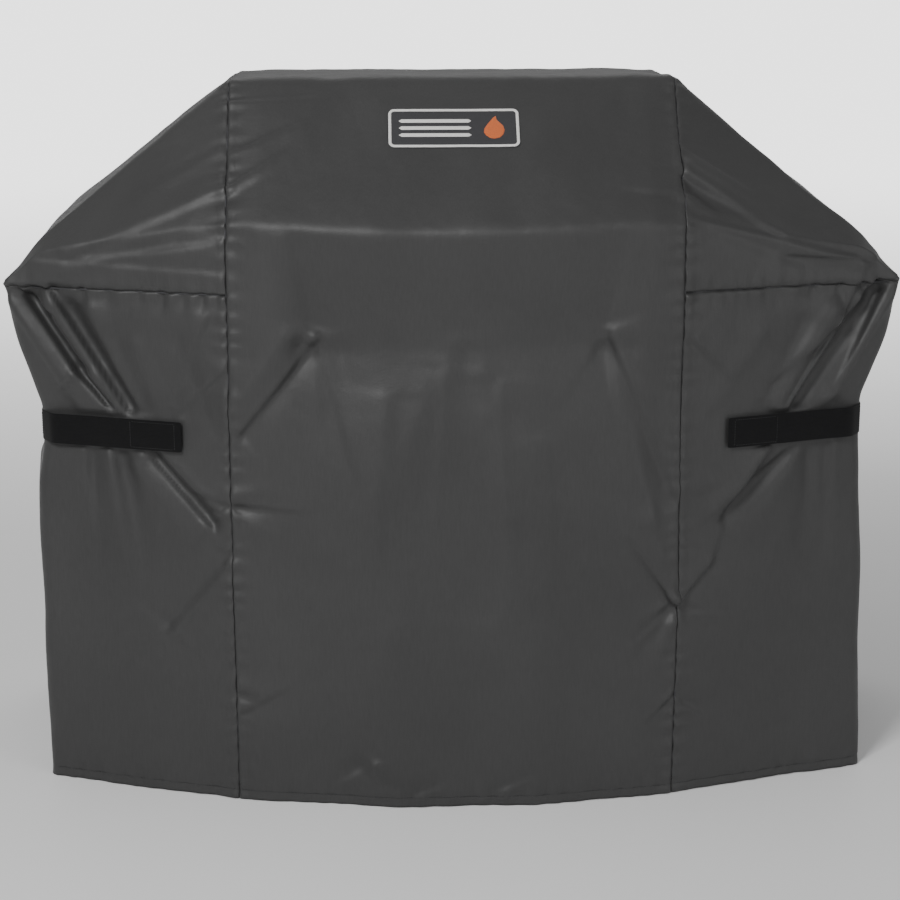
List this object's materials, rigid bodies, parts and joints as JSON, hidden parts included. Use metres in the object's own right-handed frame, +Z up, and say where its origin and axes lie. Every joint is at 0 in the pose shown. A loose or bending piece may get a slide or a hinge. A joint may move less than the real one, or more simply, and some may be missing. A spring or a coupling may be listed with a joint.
{
  "type": "grill cover",
  "caption": "Sewn cloth cover for a gas grill with side shelves: a long centre panel, sloping shoulders, hanging skirts and side straps that peel open.",
  "frame": {"origin": "on the hem plane, under the middle of the cover's bounding box", "axes": "+Z up, +X to the right of someone facing the front, and the front looks along -Y"},
  "size_m": [1.3, 0.62, 1.06],
  "materials": {
    "cover_cloth": "woven polyester with a slight sheen",
    "seam_binding": "folded binding tape",
    "hem_cloth": "woven polyester, coated side",
    "webbing": "ribbed webbing",
    "hook_tape": "moulded hooks",
    "loop_tape": "brushed pile",
    "dark_thread": "sewing thread",
    "badge_ground": "twill ground",
    "white_thread": "satin-stitch embroidery",
    "flame_thread": "satin-stitch embroidery"
  },
  "bodies": {
    "cover": {"centre_panel": "cover_cloth", "left_shoulder": "cover_cloth", "left_skirt": "cover_cloth", "left_seam_binding": "seam_binding", "left_shoulder_binding": "seam_binding", "left_skirt_hem": "hem_cloth", "left_strap_root": "webbing", "left_strap_stitching": "dark_thread", "left_loop_patch": "loop_tape", "right_shoulder": "cover_cloth", "right_skirt": "cover_cloth", "right_seam_binding": "seam_binding", "right_shoulder_binding": "seam_binding", "right_skirt_hem": "hem_cloth", "right_strap_root": "webbing", "right_strap_stitching": "dark_thread", "right_loop_patch": "loop_tape", "centre_front_hem": "hem_cloth", "centre_back_hem": "hem_cloth", "badge_patch": "badge_ground", "badge_border": "white_thread", "badge_grate_bars": "white_thread", "badge_flame": "flame_thread"},
    "left_strap": {"left_strap_tongue": "webbing", "left_hook_pad": "hook_tape"},
    "right_strap": {"right_strap_tongue": "webbing", "right_hook_pad": "hook_tape"}
  },
  "joints": [
    {"name": "left_strap_peel", "type": "hinge", "parent": "cover", "child": "left_strap", "pos_m": [-0.59124, -0.1893, 0.555], "axis": [0, 0, -1], "range_deg": [0, 170]},
    {"name": "right_strap_peel", "type": "hinge", "parent": "cover", "child": "right_strap", "pos_m": [0.59124, -0.1893, 0.555], "axis": [0, 0, 1], "range_deg": [0, 170]}
  ]
}
